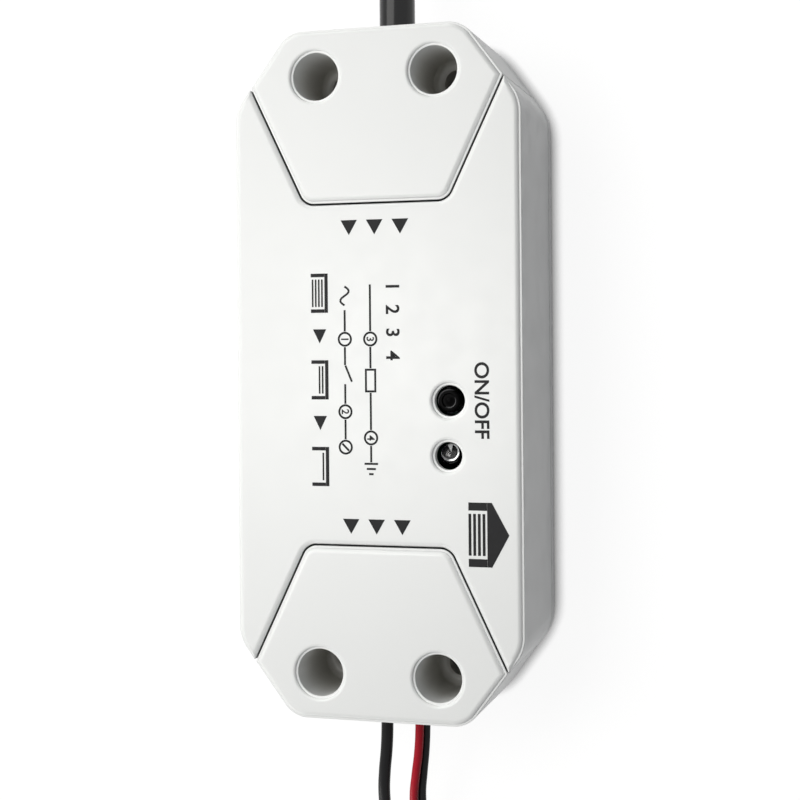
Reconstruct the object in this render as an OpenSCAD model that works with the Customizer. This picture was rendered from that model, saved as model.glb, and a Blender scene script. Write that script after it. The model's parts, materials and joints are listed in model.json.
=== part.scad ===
// Garage door controller: a small in-line box with a push button and an indicator lamp,
// a mains cable at its input end (+Y) and three output leads at its output end (-Y).
// Millimetres. The origin is at the middle of the underside, +Z points out of the top face.

/* [Housing] */
// Length of the housing, along Y
body_l = 88; // [87:0.5:100]
// Width of the housing, along X
body_w = 38; // [37.5:0.5:44]
// Height of the housing
body_h = 21; // [20.5:0.5:26]
// Corner chamfer in plan, measured along X
chamfer_x = 7.4; // [6.5:0.1:8]
// Corner chamfer in plan, measured along Y
chamfer_y = 9.9; // [9:0.1:11]
// Plan radius where a side meets a chamfer
side_corner_r = 4.5; // [3.5:0.5:6]
// Plan radius where an end meets a chamfer
end_corner_r = 3.5; // [3:0.5:4]
// How far the walls lean in from the top to the bottom
wall_draft = 0.5; // [0.1:0.1:0.6]
// Height of the rounded step at the edge of the top faces
step_h = 0.36; // [0.2:0.02:0.5]
// Width of that step
step_w = 0.58; // [0.4:0.02:0.8]
// Width of the level ledge outside the step
ledge_w = 0.27; // [0.2:0.01:0.4]
// Rounding of the bottom edge
foot_fillet = 1.6; // [0.8:0.1:2]
// Thickness of the outer walls
wall = 1.6; // [1.4:0.1:1.8]
// Thickness of the top plates
roof = 1.2; // [1:0.1:1.8]
// Thickness of the base's floor
floor_t = 2; // [1.8:0.1:2.2]
// Height of the base's outer rim
rim_h = 3; // [2.6:0.1:3.6]
// Gap between the rim and the shells that stand on it
rim_gap = 0.15; // [0.1:0.05:0.3]

/* [End caps] */
// Length of an end cap, along Y
cap_l = 22.15; // [21.5:0.05:23]
// Width of an end cap's narrow edge
cap_tip_w = 18.9; // [17:0.1:20]
// Distance from an end to the cap's widest corners
cap_side_l = 6.9; // [6.5:0.1:7.5]
// Width of the seam between a cap and the cover
seam_gap = 0.4; // [0.3:0.05:0.5]
// Plan radius of a cap's corners at its narrow edge
cap_corner_r = 1.8; // [1.3:0.1:2.5]
// Plan radius of a cap's widest corners
cap_side_r = 0.6; // [0.4:0.1:1.5]
// Thickness of the walls along the seam
seam_wall = 1.3; // [1:0.1:1.4]

/* [Screw wells] */
// Distance between the two wells of a cap
well_spacing = 15.7; // [15.5:0.1:16.5]
// Distance from an end to its wells
well_inset = 5.9; // [5.8:0.1:6.1]
// Diameter of a well
well_d = 6.1; // [5.5:0.1:6.3]
// Depth of a well
well_depth = 11.7; // [8:0.1:12]
// Wall round a well
well_wall = 0.9; // [0.7:0.05:0.95]
// Rounding of a well's rim
well_rim = 0.6; // [0.3:0.1:0.8]
// Diameter of the screw holes
screw_d = 3.4; // [3:0.1:4]
// Height of the base's screw bosses above the floor
boss_h = 5; // [4:0.1:5.5]
// Diameter of the base's screw bosses
boss_d = 7.4; // [6:0.1:7.6]

/* [Button and lamp] */
// X of the button's hole
button_x = 9.6; // [9.5:0.1:10.5]
// Y of the button's hole
button_y = -3.3; // [-3.5:0.1:-2.5]
// X of the lamp's hole
lamp_x = 9.4; // [9:0.1:10.5]
// Y of the lamp's hole
lamp_y = -10.2; // [-11:0.1:-10]
// Diameter of the button's hole
button_hole_d = 3.9; // [3.8:0.1:4.4]
// Diameter of the lamp's hole
lamp_hole_d = 3.5; // [3.4:0.1:4]
// Rounding of both holes' rims
hole_rim = 0.6; // [0.3:0.1:0.8]
// Diameter of the button's stem
stem_d = 2.9; // [2.5:0.1:3.2]
// How far the stem lies below the top
stem_sink = 1; // [0.6:0.1:1.6]
// How far the button travels
stem_travel = 0.3; // [0.2:0.05:0.4]
// Running clearance round the stem
stem_gap = 0.08; // [0.06:0.01:0.1]
// Side of the push switch
switch_w = 6; // [5:0.5:6.5]
// Height of the push switch's body
switch_h = 3.5; // [3:0.1:4]
// Thickness of the push switch's metal frame
switch_frame_t = 0.3; // [0.2:0.05:0.4]
// Diameter of the lamp's lens
lamp_d = 3; // [2.8:0.1:3.1]
// How far the lamp lies below the top
lamp_sink = 0.8; // [0.4:0.1:1.5]
// Height of the lamp from its flange to its crown
lamp_h = 5.2; // [4.5:0.1:6]
// Width of the lamp's flange round the lens
lamp_flange = 0.4; // [0.3:0.05:0.5]

/* [Circuit board] */
// Thickness of the board
board_t = 1.6; // [1.2:0.1:2]
// Height of the board above the floor
board_lift = 3; // [2.8:0.1:3.3]
// Distance from an end of the housing to the board
board_end = 10.2; // [10.1:0.1:10.6]
// Clearance between the board and the walls round it
board_gap = 0.4; // [0.35:0.05:0.6]
// Thickness of the rails that carry the board
rail_t = 1; // [0.8:0.1:1.2]
// Clearance between a rail and the cover
rail_gap = 0.2; // [0.15:0.05:0.3]
// Length of the rails
rail_l = 52; // [40:1:54]
// Diameter of the posts under the board screws
post_d = 5; // [4:0.5:5.5]
// Diameter of the board screws' shanks
board_screw_d = 1.8; // [1.5:0.1:2.2]
// Diameter of the board screws' heads
board_screw_head_d = 4; // [3.5:0.1:4.5]
// Clearance round a board screw in its hole
board_screw_gap = 0.1; // [0.05:0.05:0.2]

/* [Parts on the board] */
// Least distance of the parts from the board's long edges
edge_gap = 0.8; // [0.5:0.1:1.2]
// Least distance between two parts
part_gap = 0.1; // [0.1:0.1:0.3]
// Width of the relay
relay_w = 10.2; // [8:0.1:10.5]
// Space between the relay and the cover's seam wall
relay_end_gap = 0.75; // [0.5:0.05:2]
// Distance of the relay from the middle of the board
relay_mid_gap = 1.4; // [1:0.1:3]
// Space between the relay and the roof
relay_head = 1.6; // [1:0.1:4]
// Width of the transformer core, along X
core_w = 12; // [10:0.1:12.4]
// Thickness of the transformer core, along Y
core_t = 4.6; // [4:0.1:5]
// Space between the transformer core and the roof
core_head = 3.2; // [2:0.1:4]
// Thickness of the core's limbs and yokes
core_limb = 2; // [1.6:0.1:2.2]
// How far the bobbin stands out of the core along Y
bobbin_out = 3; // [2:0.1:3.2]
// Clearance between the bobbin and the core
bobbin_gap = 0.1; // [0.05:0.05:0.15]
// Diameter of the input capacitor
input_cap_d = 8; // [6:0.1:8]
// Space between the input capacitor and the roof
input_cap_head = 1.7; // [1:0.1:4]
// Space between the input capacitor and the cover's seam wall
input_cap_end_gap = 2.75; // [1:0.05:3]
// Diameter of the output capacitor
output_cap_d = 6.3; // [5:0.1:6.4]
// Space between the output capacitor and the roof
output_cap_head = 2.2; // [1:0.1:5]
// Diameter of the varistor
varistor_d = 7.5; // [6:0.1:8]
// Thickness of the varistor
varistor_t = 2.8; // [2.5:0.1:3]
// Diameter of the fusible resistor
fuse_d = 3; // [2.5:0.1:3.2]
// Length of the fusible resistor
fuse_l = 9; // [7:0.1:10]
// Bridge rectifier, along X, Y and Z
bridge_size = [6.4, 4.7, 2.6];
// Driver chip, along X, Y and Z
chip_size = [4, 5, 1.6];
// Thickness of the radio module's board
module_t = 0.8; // [0.6:0.1:1]
// Length of the radio module's board
module_l = 17; // [14:0.5:18]
// Space between the radio module and the roof
module_head = 2.2; // [1:0.1:4]
// Distance of the radio module from the cover's side wall
module_gap = 2; // [1.5:0.1:2.4]
// Shield can on the module, along X, Y and Z
shield_size = [2, 13, 8];
// Terminal block depth, along Y
terminal_l = 7.5; // [6.5:0.1:7.8]
// Space between the terminal blocks and the roof
terminal_head = 3.2; // [2.5:0.1:4]
// Distance between the input terminal's poles
input_pitch = 5; // [4.5:0.1:5.2]
// Distance between the output terminal's poles
output_pitch = 3.5; // [3.3:0.1:3.8]
// Diameter of the terminal screws
terminal_screw_d = 2.4; // [2:0.1:2.6]

/* [Cords] */
// Diameter of the mains cable
cable_d = 4.7; // [4.2:0.1:5]
// Diameter of the mains cable's cores
core_d = 1.9; // [1.6:0.1:2]
// Diameter of the single black lead
lead_d = 1.6; // [1.4:0.05:1.65]
// Diameter of each conductor of the twin lead
twin_d = 1.15; // [1:0.05:1.15]
// Clearance round a cord in the end wall
cord_gap = 0.25; // [0.15:0.05:0.3]
// Height at which the cords pass the end walls
cord_z = 10.5; // [10:0.1:11]
// Inner radius of the single lead's coil
lead_r_in = 6.8; // [6:0.1:7]
// Inner radius of the twin lead's coil
twin_r_in = 6.2; // [5.5:0.1:6.4]
// Least gap between a coil's turns
turn_gap = 0.45; // [0.42:0.01:0.5]
// Thickness of the ties
tie_t = 0.4; // [0.3:0.05:0.4]
// Width of the ties
tie_w = 2.4; // [1.5:0.1:3]
// Clearance round a tied bundle
tie_gap = 0.1; // [0.05:0.05:0.1]
// Length of the stripped ends
tip_l = 6; // [4:0.5:8]

/* [Hidden] */
$fn = 48;
slice = 0.01;
reach = 60;

// Heights
board_z = floor_t + board_lift;
board_top = board_z + board_t;
roof_z = body_h - roof;
boss_top = floor_t + boss_h;
well_floor = body_h - well_depth;
shell_z = rim_h + rim_gap;
room_h = roof_z - board_top;

// Places
inner_inset = wall + wall_draft;
cavity_half = body_w / 2 - inner_inset;
board_half_l = body_l / 2 - board_end;
parts_half_w = cavity_half - board_gap - edge_gap;
bay_half = body_l / 2 - cap_l - seam_gap - seam_wall;
terminal_y = board_half_l - terminal_l / 2 - 0.3;
well_y = body_l / 2 - well_inset;
screw_edge = 3.3;
screw_past_bay = 1.35;
board_screw_at = [for (s = [1, -1]) [s * (cavity_half - screw_edge), -s * (bay_half + screw_past_bay)]];
button_at = [button_x - 0.3, button_y];
lamp_at = [lamp_x, lamp_y];

white = [0.93, 0.94, 0.93];
black = [0.05, 0.05, 0.05];
dark = [0.13, 0.13, 0.14];
red = [0.62, 0.04, 0.1];
steel = [0.75, 0.76, 0.78];
copper = [0.78, 0.66, 0.5];

// Plan outlines
function cross2(a, b) = a[0] * b[1] - a[1] * b[0];
function out_normal(p, q) = let (d = q - p) [d[1], -d[0]] / norm(d);
function meet(p, d, q, e) = p + d * cross2(q - p, e) / cross2(d, e);
// A convex outline, counter-clockwise, with each edge moved outwards by its own step
function moved(pts, steps) = let (n = len(pts)) [for (i = [0:n - 1])
    let (a = pts[(i + n - 1) % n], b = pts[i], c = pts[(i + 1) % n],
         p = b + out_normal(a, b) * steps[(i + n - 1) % n], q = b + out_normal(b, c) * steps[i])
    meet(p, b - a, q, c - b)];
// The same outline with round corners
function rounded(pts, radii, steps = 6) = let (n = len(pts)) [for (i = [0:n - 1])
    let (r = max(radii[i], slice), a = pts[(i + n - 1) % n], b = pts[i], c = pts[(i + 1) % n],
         u = out_normal(a, b), v = out_normal(b, c), m = u + v,
         centre = b - r * m * 2 / (m * m),
         turn = acos(min(1, u * v)), first = atan2(u[1], u[0]))
    for (k = [0:steps]) centre + r * [cos(first + turn * k / steps), sin(first + turn * k / steps)]];

half_l = body_l / 2;
half_w = body_w / 2;
quarter = [[half_w, half_l - chamfer_y], [half_w - chamfer_x, half_l]];
octagon = [[half_w, chamfer_y - half_l], quarter[0], quarter[1], [-quarter[1][0], half_l],
    [-half_w, quarter[0][1]], [-half_w, chamfer_y - half_l], [-quarter[1][0], -half_l],
    [quarter[1][0], -half_l]];
octagon_radii = [side_corner_r, side_corner_r, end_corner_r, end_corner_r,
    side_corner_r, side_corner_r, end_corner_r, end_corner_r];
function outline(inset) = rounded(moved(octagon, [for (i = [0:7]) -inset]),
    [for (r = octagon_radii) r - inset]);

cap_side_y = half_l - cap_side_l;
cap_side_x = half_w - chamfer_x * (cap_side_y - quarter[0][1]) / chamfer_y;
hexagon = [[cap_tip_w / 2, half_l - cap_l], [cap_side_x, cap_side_y], quarter[1],
    [-quarter[1][0], half_l], [-cap_side_x, cap_side_y], [-cap_tip_w / 2, half_l - cap_l]];
// An input cap's outline, its seam edges and its outer edges moved apart
function cap_outline(seam_step, outer_step, grow = 0) = rounded(
    moved(hexagon, [seam_step, outer_step, outer_step, outer_step, seam_step, seam_step]),
    [cap_corner_r + grow, cap_side_r + min(grow, 0), end_corner_r + min(grow, 0),
     end_corner_r + min(grow, 0), cap_side_r + min(grow, 0), cap_corner_r + grow]);

function draft_at(z) = wall_draft * (1 - z / body_h);
// Steps of a rounded edge: height over the start of the rounding, and inset
function round_over(w, h) = [for (a = [0:18:90]) [h * sin(a), w * (1 - cos(a))]];
ledge_z = body_h - step_h;
step_levels = [for (s = round_over(step_w, step_h)) [ledge_z + s[0], ledge_w + s[1]]];
foot_levels = [for (s = round_over(foot_fillet, foot_fillet)) [foot_fillet - s[0], s[1]]];

module slab(z, pts) {
    translate([0, 0, min(z, body_h - slice)]) linear_extrude(slice) polygon(pts);
}
module prism(z0, z1, pts) {
    translate([0, 0, z0]) linear_extrude(z1 - z0) polygon(pts);
}
module both_ends() {
    children();
    rotate(180) children();
}
module at_wells() {
    for (x = [-1, 1]) translate([x * well_spacing / 2, well_y, 0]) children();
}
// What a rounded rim takes away round a hole of radius r
module rim_cut(r, rim) {
    translate([0, 0, body_h]) rotate_extrude() polygon(concat([[r - slice, slice], [r - slice, -rim]],
        [for (a = [0:15:90]) [r + rim * (1 - cos(a)), -rim * (1 - sin(a))]], [[r + rim, slice]]));
}
// The room that the board needs where it passes under the seam walls
module board_tunnel() {
    translate([0, 0, shell_z - 1]) linear_extrude(board_top + board_gap - shell_z + 1)
        board_plan(board_gap - 0.1);
}
module board_plan(grow) {
    intersection() {
        polygon(outline(inner_inset + board_gap - grow));
        square([body_w, 2 * (board_half_l + grow)], center = true);
    }
}
module rounded_box(size, r) {
    h = [size[0] / 2, size[1] / 2];
    linear_extrude(size[2])
        polygon(rounded([[h[0], -h[1]], h, [-h[0], h[1]], -h], [r, r, r, r], 3));
}
module on_board(at) {
    translate([at[0], at[1], board_top]) children();
}

// Base: floor, rim, screw bosses, board rails and posts, and the saddle under the cable
saddle_t = 2;
saddle_half = 2.9;
saddle_y = well_y + 2;
lead_saddle_top = cord_z - lead_d / 2 - twin_d - 0.2;
module base_tray() {
    color(white) difference() {
        union() {
            difference() {
                hull() {
                    for (s = foot_levels) slab(s[0], outline(draft_at(s[0]) + s[1]));
                    slab(rim_h - slice, outline(draft_at(rim_h)));
                }
                prism(floor_t, rim_h + 1, outline(inner_inset));
            }
            both_ends() at_wells() translate([0, 0, floor_t]) cylinder(d = boss_d, h = boss_h);
            for (x = [-1, 1]) translate([x * (cavity_half - rail_gap - rail_t / 2), 0, floor_t])
                linear_extrude(board_lift) square([rail_t, rail_l], center = true);
            for (at = board_screw_at) translate([at[0], at[1], floor_t]) cylinder(d = post_d, h = board_lift);
            translate([-saddle_half, saddle_y - saddle_t / 2, floor_t])
                cube([2 * saddle_half, saddle_t, cord_z - floor_t - 1]);
            translate([-saddle_half, -saddle_y - saddle_t / 2, floor_t])
                cube([2 * saddle_half, saddle_t, lead_saddle_top - floor_t]);
        }
        both_ends() at_wells() translate([0, 0, -1]) cylinder(d = screw_d, h = reach);
        for (at = board_screw_at) translate([at[0], at[1], floor_t])
            cylinder(d = board_screw_d + 2 * board_screw_gap, h = reach);
        translate([0, half_l, cord_z]) rotate([90, 0, 0]) cylinder(d = cable_d + 2 * cord_gap, h = half_l);
    }
}

// Centre cover: a hood with a notch for each end cap and the holes of the button and the lamp
module center_cover() {
    color(white) difference() {
        union() {
            hull() for (z = [shell_z, ledge_z]) slab(z, outline(draft_at(z)));
            hull() for (s = step_levels) slab(s[0], outline(draft_at(s[0]) + s[1]));
        }
        both_ends() prism(-1, reach, cap_outline(seam_gap, 3, seam_gap));
        difference() {
            prism(-1, roof_z, outline(inner_inset));
            both_ends() prism(-2, reach, cap_outline(seam_gap + seam_wall, 3, seam_gap + seam_wall));
        }
        board_tunnel();
        for (h = [[button_x, button_y, button_hole_d], [lamp_x, lamp_y, lamp_hole_d]])
            translate([h[0], h[1], 0]) {
                translate([0, 0, roof_z - 1]) cylinder(d = h[2], h = reach);
                rim_cut(h[2] / 2, hole_rim);
            }
    }
}

// End cap: a hood with two screw wells, open below, its end wall bored for the cords
rib_w = 1.2;
module end_cap() {
    difference() {
        union() {
            difference() {
                union() {
                    hull() for (z = [shell_z, ledge_z]) slab(z, cap_outline(0, -draft_at(z)));
                    hull() for (s = step_levels)
                        slab(s[0], cap_outline(-s[1], -draft_at(s[0]) - s[1], -s[1]));
                }
                prism(-1, roof_z, cap_outline(-seam_wall, -inner_inset, -1));
            }
            at_wells() {
                translate([0, 0, boss_top])
                    cylinder(d = well_d + 2 * well_wall, h = roof_z + slice - boss_top);
                translate([-rib_w / 2, well_d / 2, boss_top])
                    cube([rib_w, well_inset - well_d / 2 - wall, roof_z + slice - boss_top]);
            }
        }
        at_wells() {
            translate([0, 0, well_floor]) cylinder(d = well_d, h = reach);
            translate([0, 0, boss_top - 1]) cylinder(d = screw_d, h = reach);
            rim_cut(well_d / 2, well_rim);
        }
        board_tunnel();
        children();
    }
}
module end_bore(x, z, d) {
    translate([x, half_l + 1, z]) rotate([90, 0, 0]) cylinder(d = d + 2 * cord_gap, h = inner_inset + 2);
}
module input_end_cap() {
    color(white) end_cap() end_bore(0, cord_z, cable_d);
}
module output_end_cap() {
    color(white) rotate(180) end_cap() {
        end_bore(-lead_exit[0], lead_exit[2], lead_d);
        end_bore(-red_exit[0], red_exit[2], twin_d);
        end_bore(-twin_exit[0], twin_exit[2], twin_d);
    }
}

// Push switch under the cover: plastic body, metal frame and the stem that is pressed
stem_socket = 1.2;
switch_top = board_top + switch_h + switch_frame_t;
module push_button() {
    stem_top = body_h - stem_sink;
    stem_low = switch_top - stem_socket + stem_travel + 0.1;
    r = stem_d / 2;
    color(black) translate([button_at[0], button_at[1], 0]) rotate_extrude()
        polygon([[0, stem_low], [r, stem_low], [r, stem_top - 0.3], [r - 0.3, stem_top], [r - 0.5, stem_top],
            [r - 0.6, stem_top - 0.1], [0.2, stem_top - 0.1], [0, stem_top]]);
}
module switch_body() {
    color(dark) on_board(button_at) difference() {
        rounded_box([switch_w, switch_w, switch_h], 0.5);
        translate([0, 0, switch_h + switch_frame_t - stem_socket])
            cylinder(d = stem_d + 2 * stem_gap, h = reach);
    }
}
module switch_frame() {
    color(steel) on_board(button_at) translate([0, 0, switch_h]) difference() {
        rounded_box([switch_w, switch_w, switch_frame_t], 0.5);
        translate([0, 0, -1]) cylinder(d = stem_d + 2 * stem_gap, h = reach);
    }
}

// Indicator lamp: a clear moulded lens with a flange, on a spacer that lifts it off the board
lamp_low = body_h - lamp_sink - lamp_h;
flange_t = 0.8;
module status_lamp() {
    r = lamp_d / 2;
    color([0.85, 0.9, 0.95, 0.6]) translate([lamp_at[0], lamp_at[1], lamp_low]) rotate_extrude()
        polygon(concat([[0, 0], [r + lamp_flange, 0], [r + lamp_flange, flange_t], [r, flange_t]],
            [for (a = [0:15:90]) [r * cos(a), lamp_h - r + r * sin(a)]]));
}
module lamp_spacer() {
    color(dark) translate([lamp_at[0], lamp_at[1], board_top]) difference() {
        cylinder(r = lamp_d / 2 + lamp_flange, h = lamp_low - board_top);
        for (x = [-1.27, 1.27]) translate([x, 0, -1]) cylinder(d = 0.8, h = reach);
    }
}

// Circuit board and the screws that hold it to the base
module circuit_board() {
    color([0.1, 0.35, 0.18]) translate([0, 0, board_z]) linear_extrude(board_t) difference() {
        board_plan(0);
        for (at = board_screw_at) translate(at) circle(d = board_screw_d + 2 * board_screw_gap);
    }
}
screw_head_t = 1.4;
screw_depth = board_lift - 0.5;
module board_screws() {
    color(steel) for (at = board_screw_at) translate([at[0], at[1], board_z - screw_depth]) difference() {
        union() {
            cylinder(d = board_screw_d, h = screw_depth + board_t + slice);
            translate([0, 0, screw_depth + board_t]) cylinder(d = board_screw_head_d, h = screw_head_t);
        }
        for (turn = [0, 90]) rotate(turn)
            translate([-1.2, -0.3, screw_depth + board_t + 0.6]) cube([2.4, 0.6, 2]);
    }
}

// Power and switching parts, in from the walls round them
output_cap_x = output_cap_d / 2 - parts_half_w;
fuse_x = fuse_d / 2 - parts_half_w;
varistor_x = varistor_t / 2 - parts_half_w;
input_cap_x = fuse_x + (fuse_d + input_cap_d) / 2 + part_gap;
module_x = cavity_half - module_gap - module_t / 2;
shield_x = module_x - (module_t + shield_size[0]) / 2;
module relay() {
    size = [relay_w, bay_half - relay_end_gap - relay_mid_gap, room_h - relay_head];
    x = output_cap_x + (output_cap_d + relay_w) / 2 + 1.1;
    color([0.12, 0.25, 0.55]) on_board([x, -relay_mid_gap - size[1] / 2]) rounded_box(size, 0.6);
}
core_size = [core_w, core_t, room_h - core_head];
window_x = core_size[0] - 2 * core_limb;
window_z = (core_size[2] - 3 * core_limb) / 2;
transformer_y = 9.4;
transformer_at = [(input_cap_x + input_cap_d / 2 + shield_x - shield_size[0] / 2) / 2, transformer_y];
module transformer_core() {
    color(dark) on_board(transformer_at) translate([0, 0, core_size[2] / 2]) difference() {
        cube(core_size, center = true);
        for (z = [-1, 1]) translate([0, 0, z * (core_limb + window_z) / 2])
            cube([window_x, reach, window_z], center = true);
    }
}
module transformer_bobbin() {
    bobbin = [window_x - 2 * bobbin_gap, core_t + 2 * bobbin_out, core_limb + 2 * window_z - 2 * bobbin_gap];
    leg = [reach, core_t + 2 * bobbin_gap, core_limb + 2 * bobbin_gap];
    color([0.95, 0.75, 0.2]) on_board(transformer_at) translate([0, 0, core_size[2] / 2]) difference() {
        translate([0, 0, -bobbin[2] / 2]) rounded_box(bobbin, 1.5);
        cube(leg, center = true);
    }
}
// A can with its crimp groove, standing on the board
module capacitor(d, h) {
    r = d / 2;
    rotate_extrude() polygon([[0, 0], [r - 0.3, 0], [r, 0.3], [r, 1.4], [r - 0.4, 1.8], [r, 2.2],
        [r, h - 0.4], [r - 0.4, h], [0, h]]);
}
module input_capacitor() {
    color(dark) on_board([input_cap_x, bay_half - input_cap_end_gap - input_cap_d / 2])
        capacitor(input_cap_d, room_h - input_cap_head);
}
output_cap_y = -5;
module output_capacitor() {
    color(dark) on_board([output_cap_x, output_cap_y]) capacitor(output_cap_d, room_h - output_cap_head);
}
varistor_y = 4.4;
varistor_lift = 0.6;
module varistor() {
    r = varistor_d / 2;
    t = varistor_t;
    e = 0.8;
    color([0.15, 0.3, 0.6]) on_board([varistor_x - t / 2, varistor_y]) translate([0, 0, r + varistor_lift])
        rotate([0, 90, 0]) rotate_extrude()
            polygon([[0, 0], [r - e, 0], [r, e], [r, t - e], [r - e, t], [0, t]]);
}
fuse_y = varistor_y + varistor_d / 2 + 0.4;
fuse_lift = 0.05;
module fuse_resistor() {
    r = fuse_d / 2;
    e = 0.5;
    bead = 1.6;
    neck = 0.3;
    color([0.35, 0.55, 0.4]) on_board([fuse_x, fuse_y + fuse_l]) translate([0, 0, r + fuse_lift])
        rotate([90, 0, 0]) rotate_extrude() polygon([[0, 0], [r - e, 0], [r, e], [r, bead],
            [r - neck, bead + 2 * neck], [r - neck, fuse_l - bead - 2 * neck], [r, fuse_l - bead],
            [r, fuse_l - e], [r - e, fuse_l], [0, fuse_l]]);
}
bridge_y = 2.4;
module bridge_rectifier() {
    notch = 1.4;
    x = varistor_x + (varistor_t + bridge_size[0]) / 2 + 1.4;
    color(dark) on_board([x, bridge_y]) difference() {
        rounded_box(bridge_size, 0.3);
        translate([bridge_size[0] / 2, bridge_size[1] / 2, -1]) rotate(45)
            cube([notch, notch, reach], center = true);
    }
}
chip_y = -12;
module driver_chip() {
    dimple = [0.8, 0.2];
    color(dark) on_board([output_cap_x, chip_y]) difference() {
        rounded_box(chip_size, 0.2);
        translate([0, chip_size[1] / 2 - 1, chip_size[2] - dimple[1]]) cylinder(d = dimple[0], h = reach);
    }
}

// radio module: a small board on its edge, with a shield can soldered to its inner face
module_y = 9.4;
shield_lift = 2;
module wifi_board() {
    color([0.1, 0.2, 0.35]) on_board([module_x, module_y])
        rounded_box([module_t, module_l, room_h - module_head], 0.2);
}
module wifi_shield() {
    color(steel) on_board([shield_x, module_y]) translate([0, 0, shield_lift]) rounded_box(shield_size, 0.4);
}

// Terminal blocks: a wire opening and a screw well for each pole
module poles(count, pitch) {
    for (i = [0:count - 1]) translate([(i - (count - 1) / 2) * pitch, 0, 0]) children();
}
wire_h = cord_z - board_top - 0.3;
terminal_h = room_h - terminal_head;
wire_gap = 0.15;
wire_in = 1.5;
screw_sink = 1.6;
module terminal_block(count, pitch, wire_d) {
    difference() {
        rounded_box([count * pitch + 0.6, terminal_l, terminal_h], 0.4);
        poles(count, pitch) {
            translate([0, 0, terminal_h - screw_sink - 1.6]) cylinder(d = terminal_screw_d + 0.3, h = reach);
            translate([0, terminal_l / 2 - 2 * wire_in, wire_h]) rotate([-90, 0, 0])
                cylinder(d = wire_d + 2 * wire_gap, h = reach);
        }
    }
}
module terminal_screws(count, pitch) {
    poles(count, pitch) translate([0, 0, terminal_h - screw_sink - 1.6]) difference() {
        cylinder(d = terminal_screw_d, h = 1.6);
        translate([-reach / 2, -0.3, 1]) cube([reach, 0.6, 2]);
    }
}
module input_terminal_block() {
    color([0.2, 0.45, 0.3]) on_board([0, terminal_y]) terminal_block(2, input_pitch, core_d);
}
module output_terminal_block() {
    color([0.2, 0.45, 0.3]) on_board([0, -terminal_y]) rotate(180) terminal_block(3, output_pitch, lead_d);
}
module input_terminal_screws() {
    color(steel) on_board([0, terminal_y]) terminal_screws(2, input_pitch);
}
module output_terminal_screws() {
    color(steel) on_board([0, -terminal_y]) terminal_screws(3, output_pitch);
}

// Tubes swept along a route, as one closed solid
function direction(route, i) = let (n = len(route) - 1, d = route[min(i + 1, n)] - route[max(i - 1, 0)])
    d / norm(d);
function ring(p, d, r, sides) =
    let (flat = cross(d, [0, 0, 1]), side = flat / norm(flat), up = cross(side, d))
    [for (k = [0:sides - 1]) p + r * (cos(360 * k / sides) * side + sin(360 * k / sides) * up)];
module tube(route, d, sides) {
    n = len(route);
    points = [for (i = [0:n - 1]) each ring(route[i], direction(route, i), d / 2, sides)];
    walls = [for (i = [0:n - 2], k = [0:sides - 1]) let (a = i * sides + k, b = i * sides + (k + 1) % sides)
        each [[a, a + sides, b], [b, a + sides, b + sides]]];
    last = (n - 1) * sides;
    ends = [for (k = [1:sides - 2]) each [[0, k, k + 1], [last, last + k + 1, last + k]]];
    polyhedron(points, concat(walls, ends));
}

// Routes are given as X, distance past the end wall, and share of the drop from the wall to the floor
function laid(points, way, z_high, z_low) = [for (p = points)
    [p[0], way * (half_l + p[1]), z_low + (z_high - z_low) * p[2]]];
function last_of(route) = route[len(route) - 1];

// Mains cable: the sheath from inside the cap to where it is stripped, and its two cores
rest_gap = 0.05;
sheath_in = 6.5;
cable_low = cable_d / 2 + rest_gap;
cable_route = laid([[0, -sheath_in, 1], [0, -3, 1], [0, 0, 1], [0, 6, 1], [-0.2, 12, 0.94], [-0.7, 19, 0.75],
    [-1.5, 26, 0.52], [-2.5, 33, 0.28], [-3.6, 40, 0.1], [-4.6, 47, 0.02], [-5.2, 55, 0], [-5.5, 63, 0],
    [-5.5, 71, 0], [-5.5, 78, 0], [-5.5, 83, 0]], 1, cord_z, cable_low);
core_out = 1;
terminal_in = board_end + 0.3 + wire_in;
function core_route(s) = laid([[s * core_out, -sheath_in, 1], [s * core_out, -sheath_in - 0.6, 1],
    [s * input_pitch / 2, 1.4 - board_end, 0.96], [s * input_pitch / 2, -terminal_in, 0.96]],
    1, cord_z, cable_low);
function tail_route(s) = let (e = last_of(cable_route), low = core_d / 2 + rest_gap)
    [for (p = [[1, 0, 1], [1, 1.5, 1], [1.6, 6, 0.65], [2.8, 11, 0.25], [4, 16, 0]])
        [e[0] + s * p[0], e[1] + p[1], low + (e[2] - low) * p[2]]];
module mains_cable() {
    color(black) tube(cable_route, cable_d, 10);
}
module live_core() {
    color([0.4, 0.22, 0.1]) tube(core_route(-1), core_d, 8);
}
module neutral_core() {
    color([0.1, 0.25, 0.6]) tube(core_route(1), core_d, 8);
}
module live_tail() {
    color([0.4, 0.22, 0.1]) tube(tail_route(-1), core_d, 8);
}
module neutral_tail() {
    color([0.1, 0.25, 0.6]) tube(tail_route(1), core_d, 8);
}
// A round stripped end that goes on where a route stops
module tip(route, d) {
    n = len(route) - 1;
    way = route[n] - route[n - 1];
    translate(route[n]) rotate([0, acos(way[2] / norm(way)), atan2(way[1], way[0])])
        cylinder(d = d, h = tip_l);
}
strand_share = 0.62;
module mains_tips() {
    color(copper) for (s = [-1, 1]) tip(tail_route(s), core_d * strand_share);
}

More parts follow.
